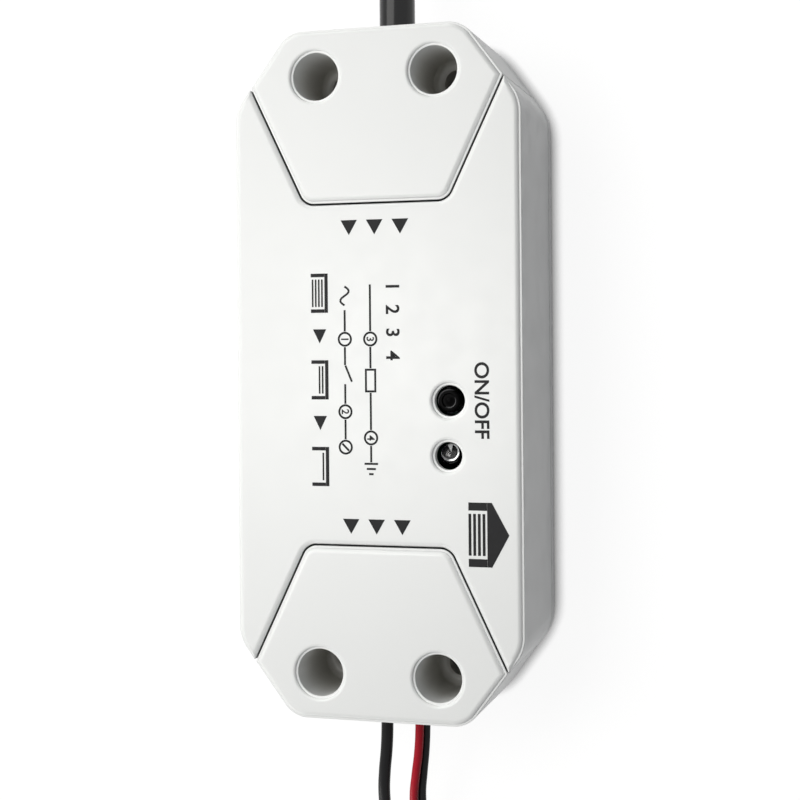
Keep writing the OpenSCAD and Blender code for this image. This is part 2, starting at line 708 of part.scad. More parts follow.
// Output leads: free stretches from the terminals to their coils
lead_low = lead_d / 2 + tie_gap + tie_t;
twin_low = twin_d / 2 + tie_gap + tie_t;
drop = [1, 1, 0.98, 0.94, 0.84, 0.68, 0.47, 0.27, 0.1, 0.01, 0];
past = [0, 3, 6, 9, 12, 15, 18, 21, 24, 27, 29.4];
lead_x = [-2.2, -2.2, -2.4, -2.8, -3.2, -3.4, -3.4, -3.2, -3, -3, -3];
red_x = [2.4, 2.4, 2.15, 1.65, 1.05, 0.7, 0.6, 0.8, 1, 1, 1];
twin_x = [0.55, 0.55, 0.6, 0.7, 0.8, 0.9, 1, 1.05, 1.15, 1.19, 1.19];
twin_drop = [1.1, 1.1, 1.08, 1.05, 1, 0.95, 0.9, 0.75, 0.5, 0.1, 0];
pole_in = [-terminal_in, 1 - board_end];
bend_in = -5.2;
wall_in = -inner_inset - 0.3;
lead_route = laid(concat([for (y = pole_in) [-output_pitch, y, 0.97]],
    [[-2.6, bend_in, 0.99], [lead_x[0], wall_in, 1]],
    [for (i = [0:10]) [lead_x[i], past[i], drop[i]]]), -1, cord_z, lead_low);
red_route = laid(concat([for (y = pole_in) [0, y, 0.97]], [[1.6, bend_in, 1.03], [red_x[0], wall_in, 1.05]],
    [for (i = [0:10]) [red_x[i], past[i], drop[i] * 1.05]]), -1, cord_z, twin_low);
twin_route = concat(laid([for (y = pole_in) [output_pitch, y, 0.97]], -1, cord_z, twin_low),
    [red_route[2] + [1.4, 0, -0.9], red_route[3] + [twin_x[0], 0, -twin_drop[0] * twin_d * 0.93]],
    [for (i = [0:10]) red_route[i + 4] + [twin_x[i], 0, -twin_drop[i] * twin_d * 0.93]]);
lead_exit = lead_route[4];
red_exit = red_route[4];
twin_exit = twin_route[4];
module black_lead() {
    color(black) tube(lead_route, lead_d, 8);
}
module red_lead() {
    color(red) tube(red_route, twin_d, 8);
}
module twin_black_lead() {
    color(black) tube(twin_route, twin_d, 8);
}

// Coils: each spirals in on the lower layer, climbs where it turns, and spirals out on the upper one
function smooth_step(t) = let (c = max(0, min(1, t))) c * c * (3 - 2 * c);
function coil_route(start, side, r_in, step, loops, lift, d) =
    let (n = round(48 * loops), r_out = r_in + step * loops,
        centre = [start[0] + side * r_out, start[1] - d, start[2]])
    [start, for (i = [0:n]) let (u = 2 * loops * i / n, r = r_in + step * abs(u - loops), a = 360 * u)
        centre + [-side * r * cos(a), -r * sin(a), lift * smooth_step((u - loops + 0.25) / 0.5)],
     let (a = 720 * loops) centre + [-side * r_out * cos(a), -r_out * sin(a), lift]
        + d * [side * sin(a), -cos(a), 0]];
// Least distance between points of a route that lie at least half a turn apart along it, less the diameter
function self_gap(route, d) = min([for (i = [0:len(route) - 14], j = [i + 12:len(route) - 1])
    norm(route[i] - route[j])]) - d;

lead_loops = 1.1;
twin_loops = 1.1;
twin_pair = last_of(twin_x);
lead_layer = lead_d + turn_gap;
twin_layer = twin_d + turn_gap;
twin_step = twin_pair + twin_d + turn_gap;
lead_coil = coil_route(last_of(lead_route), -1, lead_r_in, lead_layer, lead_loops, lead_layer, lead_d);
red_r_in = twin_r_in + twin_pair;
red_coil = coil_route(last_of(red_route), 1, red_r_in, twin_step, twin_loops, twin_layer, twin_d);
twin_coil = coil_route(last_of(twin_route), 1, twin_r_in, twin_step, twin_loops, twin_layer, twin_d);
echo("least gap of the black lead's coil to itself", self_gap(lead_coil, lead_d));
echo("least gap of the red lead's coil to itself", self_gap(red_coil, twin_d));
echo("least gap of the twin's black coil to itself", self_gap(twin_coil, twin_d));
module black_lead_coil() {
    color(black) tube(lead_coil, lead_d, 6);
}
module red_lead_coil() {
    color(red) tube(red_coil, twin_d, 6);
}
module twin_black_coil() {
    color(black) tube(twin_coil, twin_d, 6);
}
module lead_tips() {
    color(copper) {
        tip(lead_coil, lead_d * strand_share);
        tip(red_coil, twin_d * strand_share);
        tip(twin_coil, twin_d * strand_share);
    }
}
// A flat band round the turns of a coil, where the lower layer has run the given share of a loop
tie_at = 0.44;
module tie(start, side, r_in, step, loops, extra, layer, d) {
    r_out = r_in + step * loops;
    near = r_in + step * abs(1 + tie_at - loops) - d / 2;
    far = r_in + step * abs(tie_at - loops) + extra + d / 2;
    inner = [far - near, layer + d] + 2 * [tie_gap, tie_gap];
    color([0.85, 0.85, 0.85]) translate(start + [side * r_out, -d, layer / 2])
        rotate(90 + side * (90 + 360 * tie_at)) translate([(near + far) / 2, 0, 0]) rotate([90, 0, 0])
            linear_extrude(tie_w, center = true) difference() {
                square(inner + 2 * [tie_t, tie_t], center = true);
                square(inner, center = true);
            }
}
module black_lead_tie() {
    tie(last_of(lead_route), -1, lead_r_in, lead_layer, lead_loops, 0, lead_layer, lead_d);
}
module twin_lead_tie() {
    tie(last_of(twin_route), 1, twin_r_in, twin_step, twin_loops, twin_pair, twin_layer, twin_d);
}

base_tray();
center_cover();
input_end_cap();
output_end_cap();
push_button();
switch_body();
switch_frame();
status_lamp();
lamp_spacer();
circuit_board();
board_screws();
relay();
transformer_core();
transformer_bobbin();
input_capacitor();
output_capacitor();
varistor();
fuse_resistor();
bridge_rectifier();
driver_chip();
wifi_board();
wifi_shield();
input_terminal_block();
output_terminal_block();
input_terminal_screws();
output_terminal_screws();
live_core();
neutral_core();
mains_cable();
live_tail();
neutral_tail();
mains_tips();
black_lead();
black_lead_coil();
black_lead_tie();
red_lead();
red_lead_coil();
twin_black_lead();
twin_black_coil();
twin_lead_tie();
lead_tips();
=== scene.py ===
import json
import math

import bmesh
import bpy
from mathutils import Matrix, Vector
from mathutils.geometry import intersect_line_line


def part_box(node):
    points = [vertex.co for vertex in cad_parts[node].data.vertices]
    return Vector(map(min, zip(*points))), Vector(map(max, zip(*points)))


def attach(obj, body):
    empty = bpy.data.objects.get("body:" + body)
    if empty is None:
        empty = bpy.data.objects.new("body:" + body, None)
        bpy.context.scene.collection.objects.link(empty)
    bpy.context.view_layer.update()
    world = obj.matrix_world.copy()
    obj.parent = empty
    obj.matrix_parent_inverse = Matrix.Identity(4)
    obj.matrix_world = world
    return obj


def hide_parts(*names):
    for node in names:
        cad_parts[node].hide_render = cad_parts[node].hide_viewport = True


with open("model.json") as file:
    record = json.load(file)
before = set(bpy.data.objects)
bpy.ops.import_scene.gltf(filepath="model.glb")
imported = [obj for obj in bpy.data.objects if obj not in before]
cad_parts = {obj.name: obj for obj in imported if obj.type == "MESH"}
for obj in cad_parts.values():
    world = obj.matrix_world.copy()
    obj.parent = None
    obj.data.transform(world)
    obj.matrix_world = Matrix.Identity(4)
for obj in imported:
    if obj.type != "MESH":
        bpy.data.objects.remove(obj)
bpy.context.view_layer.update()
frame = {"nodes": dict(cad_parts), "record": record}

# Camera
# It looks down on the top face from the button's side, near enough for the box to fill the picture, with
# the lens shifted a little downwards, as in a picture that was cut out of a larger one.
mm = 0.001
camera = bpy.data.objects.new("camera", bpy.data.cameras.new("camera"))
camera.data.sensor_width = 36
camera.data.lens = 74.149
camera.data.shift_y = -0.06
camera.data.clip_start = 10 * mm
camera.location = Vector((65.324, 3.324, 218.497)) * mm
camera.rotation_euler = [math.radians(a) for a in (-0.287, 17.439, -0.5)]
bpy.context.collection.objects.link(camera)
bpy.context.scene.camera = camera
bpy.context.scene.view_settings.view_transform = "Standard"

# Studio
# A white sweep that keeps a soft shadow, partly cast and partly painted into its glow, a wide soft box
# from the upper left and a small lamp close above.
# Low strips draw the line along the button's wall and lift the steps round both ends; the room is dim.
def set_values(node, **values):
    for name, value in values.items():
        node.inputs[name.replace("_", " ")].default_value = value


def seen_directly(tree):
    """One where the camera, a reflection or a clear lens sees the surface, nought where it only lights."""
    path = tree.nodes.new("ShaderNodeLightPath")
    seen = path.outputs["Is Camera Ray"]
    for other in ("Is Glossy Ray", "Is Transmission Ray"):
        either = tree.nodes.new("ShaderNodeMath")
        either.operation = "MAXIMUM"
        tree.links.new(seen, either.inputs[0])
        tree.links.new(path.outputs[other], either.inputs[1])
        seen = either.outputs[0]
    return seen


world = bpy.data.worlds.new("dim_room")
bpy.context.scene.world = world
world.use_nodes = True
room = world.node_tree
dim = room.nodes["Background"]
set_values(dim, Color=(0.96, 0.98, 1, 1), Strength=0.21)
white = room.nodes.new("ShaderNodeBackground")
set_values(white, Color=(1, 1, 1, 1), Strength=1)
room_mix = room.nodes.new("ShaderNodeMixShader")
room.links.new(seen_directly(room), room_mix.inputs[0])
room.links.new(dim.outputs[0], room_mix.inputs[1])
room.links.new(white.outputs[0], room_mix.inputs[2])
room.links.new(room_mix.outputs[0], room.nodes["World Output"].inputs["Surface"])

sweep = bpy.data.materials.new("studio_sweep")
sweep.use_nodes = True
paper = sweep.node_tree
matte = paper.nodes["Principled BSDF"]
set_values(matte, Base_Color=(0.15, 0.15, 0.15, 1), Roughness=0.9)
# Painted shade: the floor's glow fades out where the box closes it in, under the box and along its foot.
open_air = paper.nodes.new("ShaderNodeAmbientOcclusion")
set_values(open_air, Distance=3 * mm)
glow = paper.nodes.new("ShaderNodeEmission")
set_values(glow, Strength=0.9)
painted_floor_shade_mask = paper.nodes.new("ShaderNodeMapRange")
set_values(painted_floor_shade_mask, From_Min=0.33, From_Max=0.75)
paper.links.new(open_air.outputs["AO"], painted_floor_shade_mask.inputs["Value"])
paper.links.new(painted_floor_shade_mask.outputs[0], glow.inputs["Color"])
lit = paper.nodes.new("ShaderNodeAddShader")
paper.links.new(matte.outputs[0], lit.inputs[0])
paper.links.new(glow.outputs[0], lit.inputs[1])
bounce = paper.nodes.new("ShaderNodeBsdfDiffuse")
set_values(bounce, Color=(0.1, 0.1, 0.1, 1))
paper_mix = paper.nodes.new("ShaderNodeMixShader")
paper.links.new(seen_directly(paper), paper_mix.inputs[0])
paper.links.new(bounce.outputs[0], paper_mix.inputs[1])
paper.links.new(lit.outputs[0], paper_mix.inputs[2])
paper.links.new(paper_mix.outputs[0], paper.nodes["Material Output"].inputs["Surface"])

floor_mesh = bpy.data.meshes.new("floor")
bm = bmesh.new()
bmesh.ops.create_grid(bm, x_segments=1, y_segments=1, size=4)
bm.to_mesh(floor_mesh)
bm.free()
floor = bpy.data.objects.new("floor", floor_mesh)
floor_mesh.materials.append(sweep)
bpy.context.collection.objects.link(floor)


warm_white = (1, 0.99, 0.965)


def soft_box(name, place, aim, size, power):
    """A rectangular lamp that faces the point it is aimed at."""
    light = bpy.data.lights.new(name, "AREA")
    light.shape = "RECTANGLE"
    light.size, light.size_y = size
    light.energy = power
    light.color = warm_white
    lamp = bpy.data.objects.new(name, light)
    lamp.location = place
    lamp.rotation_euler = (Vector(aim) - Vector(place)).to_track_quat("-Z", "Y").to_euler()
    bpy.context.collection.objects.link(lamp)


soft_box("overhead_box", (-0.3, 0.14, 0.5), (0, 0, 0), (0.5, 0.5), 2.12)
soft_box("near_lamp", (-0.028, 0, 0.13), (-0.028, 0, 0), (0.05, 0.05), 0.034)
soft_box("side_strip", (0.65, 0.3, 0.03), (0, 0, 0.02), (1, 0.04), 0.02)
soft_box("input_end_strip", (-0.3, 0.62, 0.12), (0, 0, 0.02), (0.5, 0.1), 1.7)
soft_box("output_end_strip", (-0.4, -0.58, 0.1), (0, 0, 0.02), (0.5, 0.1), 1.6)

# Housing outline
# The four mouldings share one plan: a long octagon whose end caps are trapezoids let into the cover.
# The walls lean in by half a millimetre towards the foot, so that they leave the mould.
half_w, half_l, height = 19 * mm, 44 * mm, 21 * mm
chamfer_x, chamfer_y = 7.4 * mm, 9.9 * mm
draft = 0.5 * mm
side_corner_r, end_corner_r = 4.5 * mm, 3.5 * mm
wall, roof, floor_t = 1.6 * mm, 1.2 * mm, 2 * mm
rim_h, rim_gap = 3 * mm, 0.15 * mm
inner_inset = wall + draft
side_corner = Vector((half_w, half_l - chamfer_y))
end_corner = Vector((half_w - chamfer_x, half_l))
octagon = [
    (half_w, -side_corner.y), (half_w, side_corner.y), (end_corner.x, half_l), (-end_corner.x, half_l),
    (-half_w, side_corner.y), (-half_w, -side_corner.y), (-end_corner.x, -half_l), (end_corner.x, -half_l)]
tiny, sharp_angle = 0.001 * mm, math.radians(50)


def add_block(bm, corners, low, high, inset=0.0):
    """A closed block with upright walls on a plan outline, drawn in from it by the inset."""
    foot = bm.faces.new([bm.verts.new((x, y, low)) for x, y in corners])
    if inset:
        foot.normal_update()
        margin = bmesh.ops.inset_region(
            bm, faces=[foot], thickness=inset, use_boundary=True, use_even_offset=True)["faces"]
        bmesh.ops.delete(bm, geom=margin, context="FACES")
    raised = bmesh.ops.extrude_face_region(bm, geom=[foot])["geom"]
    top = [v for v in raised if isinstance(v, bmesh.types.BMVert)]
    bmesh.ops.translate(bm, verts=top, vec=(0, 0, high - low))
    bmesh.ops.recalc_face_normals(bm, faces=bm.faces)


def level_face(bm, z, largest=True):
    """The largest or the smallest level face at a height."""
    flat = [f for f in bm.faces if all(abs(v.co.z - z) < tiny for v in f.verts)]
    pick = max if largest else min
    return pick(flat, key=lambda f: f.calc_area())


def bevel(bm, edges, offset, segments):
    bmesh.ops.bevel(bm, geom=edges, offset=offset, offset_type="OFFSET", affect="EDGES", segments=segments,
                    profile=0.5, material=-1, clamp_overlap=True)


def round_corners(bm, corner, radius):
    """Rounds the upright edges at a corner and at its mirror images."""
    on_end = [e for e in bm.edges if (e.verts[0].co.xy - e.verts[1].co.xy).length < tiny]
    edges = [e for e in on_end
             if (Vector((abs(e.verts[0].co.x), abs(e.verts[0].co.y))) - corner).length < tiny]
    turn = edges[0].calc_face_angle()
    bevel(bm, edges, radius * math.tan(turn / 2), 8)


def fill_between(bm, faces, rings=()):
    """Opens flat faces and fills them again between their outlines and any rings of edges inside them."""
    bounds = {e for f in faces for e in f.edges}
    bmesh.ops.delete(bm, geom=list(faces), context="FACES_ONLY")
    bmesh.ops.triangle_fill(bm, edges=list(bounds) + list(rings), use_beauty=True, use_dissolve=False)


def lean_in(bm):
    """Leans the walls in towards the foot by the draft."""
    for v in bm.verts:
        lean = draft * (1 - v.co.z / height)
        v.co.x *= 1 - lean / half_w
        v.co.y *= 1 - lean / half_l


def spun(bm, profile, x, y, steps=64):
    """Turns a profile of radius and height points round an upright axis."""
    verts = [bm.verts.new((x + r, y, z)) for r, z in profile]
    edges = [bm.edges.new(pair) for pair in zip(verts, verts[1:])]
    bmesh.ops.spin(bm, geom=verts + edges, cent=(x, y, 0), axis=(0, 0, 1), dvec=(0, 0, 0), angle=math.tau,
                   steps=steps, use_merge=True)
    poles = [v for v in bm.verts if math.hypot(v.co.x - x, v.co.y - y) < tiny]
    bmesh.ops.remove_doubles(bm, verts=poles, dist=tiny)


def spun_ring(bm, inner, outer, low, high, x, y, steps):
    """A flat-ended ring round an upright axis."""
    before = set(bm.verts)
    spun(bm, [(inner, low), (outer, low), (outer, high), (inner, high), (inner, low)], x, y, steps)
    bmesh.ops.remove_doubles(bm, verts=[v for v in bm.verts if v not in before], dist=tiny)


def ring_edges(bm, x, y, radius, z):
    """The edges of a spun shape that lie on a circle at a height."""
    return [e for e in bm.edges if all(
        abs(v.co.z - z) < tiny and abs(math.hypot(v.co.x - x, v.co.y - y) - radius) < tiny for v in e.verts)]


def finished(name, bm, material, body="housing", nodes=(), crease=35):
    """Turns a mesh in the making into a shaded piece of the object that stands for its CAD nodes."""
    bmesh.ops.recalc_face_normals(bm, faces=bm.faces)
    for face in bm.faces:
        face.smooth = True
    for edge in bm.edges:
        edge.smooth = edge.calc_face_angle(0) < math.radians(crease)
    mesh = bpy.data.meshes.new(name)
    bm.to_mesh(mesh)
    bm.free()
    mesh.materials.append(material)
    piece = bpy.data.objects.new(name, mesh)
    bpy.context.collection.objects.link(piece)
    normals = piece.modifiers.new("weighted_normals", "WEIGHTED_NORMAL")
    normals.keep_sharp = True
    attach(piece, body)
    if nodes:
        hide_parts(*nodes)
    return piece


# White moulded plastic
# Satin white ABS: a very faint mottle in the colour and the fine even grain of a spark-eroded mould. Deep
# in the wells and in the seams, where little light gets in, shade is painted into the colour to darken it.
def noise(tree, size, detail=2.0, stretch=(1, 1, 1)):
    """Noise of about this grain size on the piece's own coordinates, drawn out along an axis if stretched."""
    coordinates = tree.nodes.new("ShaderNodeTexCoord")
    mapping = tree.nodes.new("ShaderNodeMapping")
    mapping.inputs["Scale"].default_value = stretch
    texture = tree.nodes.new("ShaderNodeTexNoise")
    set_values(texture, Scale=1 / size, Detail=detail)
    tree.links.new(coordinates.outputs["Object"], mapping.inputs["Vector"])
    tree.links.new(mapping.outputs[0], texture.inputs["Vector"])
    return texture.outputs[0]


def between(tree, share, low, high):
    """A value that goes from low to high as the noise does."""
    mapped = tree.nodes.new("ShaderNodeMapRange")
    set_values(mapped, From_Min=0.3, From_Max=0.7, To_Min=low, To_Max=high)
    tree.links.new(share, mapped.inputs["Value"])
    return mapped.outputs[0]


def paint_shade_in_hollows(tree, shade, painted_shade_colour, reach, closed, open_to):
    """Painted shade: a colour that gives way to a darker one where walls within reach close a point in all
    round.
    """
    openness = tree.nodes.new("ShaderNodeAmbientOcclusion")
    openness.samples = 8
    set_values(openness, Distance=reach)
    share = tree.nodes.new("ShaderNodeMapRange")
    set_values(share, From_Min=closed, From_Max=open_to)
    tree.links.new(openness.outputs["AO"], share.inputs["Value"])
    mix = tree.nodes.new("ShaderNodeMix")
    mix.data_type = "RGBA"
    mix.inputs[6].default_value = painted_shade_colour + (1,)
    tree.links.new(share.outputs[0], mix.inputs[0])
    tree.links.new(shade, mix.inputs[7])
    return mix.outputs[2]


def moulded(name, colour, roughness, grain=0.15 * mm, relief=0.004 * mm, mottle=0.04, patch=6 * mm, metal=0.0,
            stretch=(1, 1, 1), painted_hollow_shades=(), **sockets):
    """A surface with patches a little lighter and darker than its colour, and a fine raised grain.

    Each of the hollow shades is painted shade: the darker colour taken where walls close the surface in,
    given as the further arguments of the function that paints it in."""
    material = bpy.data.materials.new(name)
    material.use_nodes = True
    tree = material.node_tree
    shader = tree.nodes["Principled BSDF"]
    set_values(shader, Metallic=metal, **sockets)
    tint = tree.nodes.new("ShaderNodeMix")
    tint.data_type = "RGBA"
    shades = [tuple(min(1, c * s) for c in colour) + (1,) for s in (1 - mottle, 1 + mottle)]
    tint.inputs[6].default_value, tint.inputs[7].default_value = shades
    tree.links.new(noise(tree, patch, 3), tint.inputs[0])
    shade = tint.outputs[2]
    for depth in painted_hollow_shades:
        shade = paint_shade_in_hollows(tree, shade, *depth)
    tree.links.new(shade, shader.inputs["Base Color"])
    tree.links.new(between(tree, noise(tree, patch / 4), roughness - 0.04, roughness + 0.04),
                   shader.inputs["Roughness"])
    bump = tree.nodes.new("ShaderNodeBump")
    set_values(bump, Strength=0.6, Distance=relief)
    tree.links.new(noise(tree, grain, 2, stretch), bump.inputs["Height"])
    tree.links.new(bump.outputs[0], shader.inputs["Normal"])
    return material


# Painted shade: deep in the wells and in the seams the white is painted darker, by how closely walls close it
# in.
well_reach, seam_reach = 12 * mm, 0.6 * mm
well_wall_shade, well_foot_shade, seam_shade = (0.53, 0.52, 0.49), (0.42, 0.41, 0.38), (0.02, 0.02, 0.02)
white_abs = moulded("white_abs", (0.82, 0.83, 0.825), 0.34, mottle=0.012, patch=9 * mm, painted_hollow_shades=[
    (well_wall_shade, well_reach, 0, 0.3), (well_foot_shade, well_reach, 0, 0.12),
    (seam_shade, seam_reach, 0.2, 0.5)])

# Base tray
# The lower half of the box, moulded in one piece: a flat floor with a rounded foot and a low rim, a
# bored boss under each screw well, rails and posts for the board, and a saddle under each cord.
foot_fillet = 1.6 * mm
screw_r, boss_r, boss_h = 1.7 * mm, 3.7 * mm, 5 * mm
well_x, well_y = 7.85 * mm, 38.1 * mm
boss_top = floor_t + boss_h
bm = bmesh.new()
add_block(bm, octagon, 0, rim_h)
round_corners(bm, side_corner, side_corner_r)
round_corners(bm, end_corner, end_corner_r)
bevel(bm, list(level_face(bm, 0).edges), foot_fillet, 6)
outer_top = level_face(bm, rim_h)
add_block(bm, octagon, floor_t, rim_h, inner_inset)
fill_between(bm, [outer_top, level_face(bm, rim_h, largest=False)])
lean_in(bm)
floor_rings, under_rings = [], []
for x in (-well_x, well_x):
    for y in (-well_y, well_y):
        spun(bm, [(screw_r, 0), (screw_r, boss_top), (boss_r, boss_top), (boss_r, floor_t)], x, y, 48)
        under_rings += ring_edges(bm, x, y, screw_r, 0)
        floor_rings += ring_edges(bm, x, y, boss_r, floor_t)
fill_between(bm, [level_face(bm, 0)], under_rings)
fill_between(bm, [level_face(bm, floor_t)], floor_rings)
rail_x, rail_t, rail_l, board_z = 16.2 * mm, 1 * mm, 52 * mm, 5 * mm
post_x, post_y, post_r, post_hole_r = 13.6 * mm, 21.5 * mm, 2.5 * mm, 1 * mm
saddle_y, saddle_t, saddle_half, saddle_z = 40.1 * mm, 2 * mm, 2.9 * mm, 7.9 * mm


def upright(bm, x, y, width, length, top):
    """A small upright wall on the tray's floor."""
    left, right, near, far = x - width / 2, x + width / 2, y - length / 2, y + length / 2
    add_block(bm, [(left, near), (right, near), (right, far), (left, far)], floor_t, top)


for side in (-1, 1):
    upright(bm, side * rail_x, 0, rail_t, rail_l, board_z)
    upright(bm, 0, side * saddle_y, 2 * saddle_half, saddle_t, saddle_z)
    spun_ring(bm, post_hole_r, post_r, floor_t, board_z, side * post_x, -side * post_y, 48)
finished("base_tray_moulding", bm, white_abs, nodes=["base_tray"])

# Centre cover
# The hood over the circuit board: its top stands a rounded step above a narrow ledge along the sides, it
# is notched at each end for a cap, and two small holes with stepped lips let the button and the lamp through.
step_h, step_lean, ledge, edge_break, hold = 0.36 * mm, 0.2 * mm, 0.27 * mm, 0.1 * mm, 0.12 * mm
step_round, ledge_z = 0.95 * math.hypot(step_h, step_lean), height - step_h
cap_tip, cap_side_y = Vector((9.45 * mm, 21.85 * mm)), half_l - 6.9 * mm
cap_side = side_corner.lerp(end_corner, (cap_side_y - side_corner.y) / chamfer_y)
cap_corner_r, seam_gap = 1.8 * mm, 0.24 * mm
shell_z, roof_z = rim_h + rim_gap, height - roof
along = (cap_side - cap_tip).normalized()
away = Vector((along.y, -along.x)) * seam_gap
seam_end = intersect_line_line(cap_tip + away, cap_side + away, side_corner, end_corner)[0].xy
tip_y = cap_tip.y - seam_gap
seam_tip = intersect_line_line(cap_tip + away, cap_side + away, (0, tip_y), (1, tip_y))[0].xy
quarter = [side_corner, seam_end, seam_tip]
cover_outline = [(x * c.x, y * c.y) for x, y, corners in (
    (1, 1, quarter), (-1, 1, quarter[::-1]), (-1, -1, quarter), (1, -1, quarter[::-1])) for c in corners]


def raise_step(bm, open_sides):
    """Raises the top face by a leaning step, behind a ledge on its open sides, and rounds the step."""
    top = level_face(bm, ledge_z)
    margin = bmesh.ops.inset_region(bm, faces=[top], thickness=ledge, use_even_offset=True)["faces"]
    flush = [f for f in margin if not open_sides(f.calc_center_median())]
    if flush:
        bmesh.ops.dissolve_faces(bm, faces=flush + [top], use_verts=True)
    bmesh.ops.inset_region(bm, faces=[level_face(bm, ledge_z)], thickness=step_lean, depth=step_h,
                           use_even_offset=True)
    bevel(bm, list(level_face(bm, height).edges), step_round, 6)


def hollow_hood(bm, outline):
    """Takes the sharpness off a hood's outer edges, and hollows it from below to its walls and its roof."""
    crisp = [e for e in bm.edges if e.is_convex and e.calc_face_angle(0) > sharp_angle
             and max(v.co.z for v in e.verts) > shell_z + tiny]
    bevel(bm, crisp, edge_break, 3)
    outer_foot = level_face(bm, shell_z)
    add_block(bm, outline, shell_z, roof_z, wall)
    fill_between(bm, [outer_foot, level_face(bm, shell_z, largest=False)])


def soften_top(bm):
    """Leaves a narrow level margin round the top face, which keeps the rounded edge's shading off it."""
    bmesh.ops.inset_region(bm, faces=[level_face(bm, height)], thickness=hold, use_even_offset=True)


def hole(bm, x, y, radius, profile, steps=64):
    """A spun hole in the top face, let in by a small rounded step with a narrow ledge inside it."""
    step_r = radius + lip_ledge
    mouth_r = step_r + lip_round + hold
    lip = [(mouth_r, height), (step_r, height), (step_r, height - lip_h), (radius, height - lip_h)]
    spun(bm, lip + profile, x, y, steps)
    bevel(bm, ring_edges(bm, x, y, step_r, height), lip_round, 6)
    bevel(bm, ring_edges(bm, x, y, radius, height - lip_h), lip_break, 3)
    return ring_edges(bm, x, y, mouth_r, height)


button_hole, lamp_hole = (9.6 * mm, -3.3 * mm, 1.95 * mm), (9.4 * mm, -10.2 * mm, 1.75 * mm)
lip_h, lip_round, lip_ledge, lip_break = 0.38 * mm, 0.36 * mm, 0.28 * mm, 0.1 * mm
bm = bmesh.new()
add_block(bm, cover_outline, shell_z, ledge_z)
round_corners(bm, side_corner, side_corner_r)
round_corners(bm, seam_tip, cap_corner_r + seam_gap)
raise_step(bm, lambda place: abs(place.x) > seam_end.x - 2 * ledge)
hollow_hood(bm, cover_outline)
soften_top(bm)
lean_in(bm)
mouths, ceilings = [], []
for x, y, radius in (button_hole, lamp_hole):
    mouths += hole(bm, x, y, radius, [(radius, roof_z)])
    ceilings += ring_edges(bm, x, y, radius, roof_z)
fill_between(bm, [level_face(bm, height)], mouths)
fill_between(bm, [level_face(bm, roof_z)], ceilings)
finished("center_cover_moulding", bm, white_abs, nodes=["center_cover"])

# End caps
# Two trapezoid hoods that close the ends, rounded all round, each with two deep wells for the wall
# screws; the end wall is bored for the mains cable at one end and for the leads at the other.
well_r, well_wall, well_floor, well_fillet = 3.05 * mm, 0.9 * mm, 9.3 * mm, 1 * mm
cord_z, cord_gap = 10.5 * mm, 0.25 * mm


def bore(bm, centres, radius, way, steps=48):
    """Rings in the two faces of an end wall, joined by a tube, round one cord or a pair of them."""
    rings = []
    for y in (half_l, half_l - wall):
        ring = []
        for i in range(steps):
            out = Vector((math.cos(math.tau * i / steps), 0, math.sin(math.tau * i / steps)))
            outermost = max(centres, key=out.dot)
            ring.append(bm.verts.new(Vector((outermost.x, way * y, outermost.z)) + radius * out))
        rings.append([bm.edges.new(pair) for pair in zip(ring, ring[1:] + ring[:1])])
    bmesh.ops.bridge_loops(bm, edges=rings[0] + rings[1])
    return rings


def end_cap(name, node, way, bores):
    bm = bmesh.new()
    half = [(cap_tip.x, cap_tip.y), tuple(cap_side), (end_corner.x, end_corner.y)]
    corners = [(x, way * y) for x, y in half] + [(-x, way * y) for x, y in half[::-1]]
    add_block(bm, corners, shell_z, ledge_z)
    round_corners(bm, cap_tip, cap_corner_r)
    round_corners(bm, end_corner, end_corner_r)
    raise_step(bm, lambda place: True)
    hollow_hood(bm, corners)
    rings = [bore(bm, centres, r + cord_gap, way) for centres, r in bores]
    for depth, y in enumerate((half_l, half_l - wall)):
        walls = [f for f in bm.faces if all(abs(v.co.y - way * y) < tiny for v in f.verts)]
        fill_between(bm, walls, [e for pair in rings for e in pair[depth]])
    soften_top(bm)
    lean_in(bm)
    mouths, ceilings = [], []
    tube_r = well_r + well_wall
    well = [(well_r, well_floor), (screw_r, well_floor), (screw_r, boss_top), (tube_r, boss_top),
            (tube_r, roof_z)]
    for x in (-well_x, well_x):
        mouths += hole(bm, x, way * well_y, well_r, well)
        bevel(bm, ring_edges(bm, x, way * well_y, well_r, well_floor), well_fillet, 6)
        ceilings += ring_edges(bm, x, way * well_y, tube_r, roof_z)
    fill_between(bm, [level_face(bm, height)], mouths)
    fill_between(bm, [level_face(bm, roof_z)], ceilings)
    return finished(name, bm, white_abs, nodes=[node])


# Cord routes
# Each cord leaves its end wall level, sinks to the surface that the box lies on and runs along it. A
# route's points give X, the distance past the end wall, and the share of the drop that is left.
cable_r, lead_r, twin_r = 2.35 * mm, 0.8 * mm, 0.575 * mm


def laid(points, way, low):
    """Points of a route in the frame, from millimetres past an end wall."""
    return [Vector((x * mm, way * (half_l + y * mm), low + (cord_z - low) * share)) for x, y, share in points]


cable_low, tie_room = cable_r + 0.05 * mm, 0.5 * mm
cable_route = laid([
    (0, -6.5, 1), (0, -3, 1), (0, 0, 1), (0, 6, 1), (-0.2, 12, 0.94), (-0.7, 19, 0.75), (-1.5, 26, 0.52),
    (-2.5, 33, 0.28), (-3.6, 40, 0.1), (-4.6, 47, 0.02), (-5.2, 55, 0), (-5.5, 63, 0), (-5.5, 71, 0),
    (-5.5, 78, 0), (-5.5, 83, 0)], 1, cable_low)
drop = [1, 1, 0.98, 0.94, 0.84, 0.68, 0.47, 0.27, 0.1, 0.01, 0]
past = [0, 3, 6, 9, 12, 15, 18, 21, 24, 27, 29.4]
lead_x = [-2.2, -2.2, -2.4, -2.8, -3.2, -3.4, -3.4, -3.2, -3, -3, -3]
red_x = [2.4, 2.4, 2.15, 1.65, 1.05, 0.7, 0.6, 0.8, 1, 1, 1]
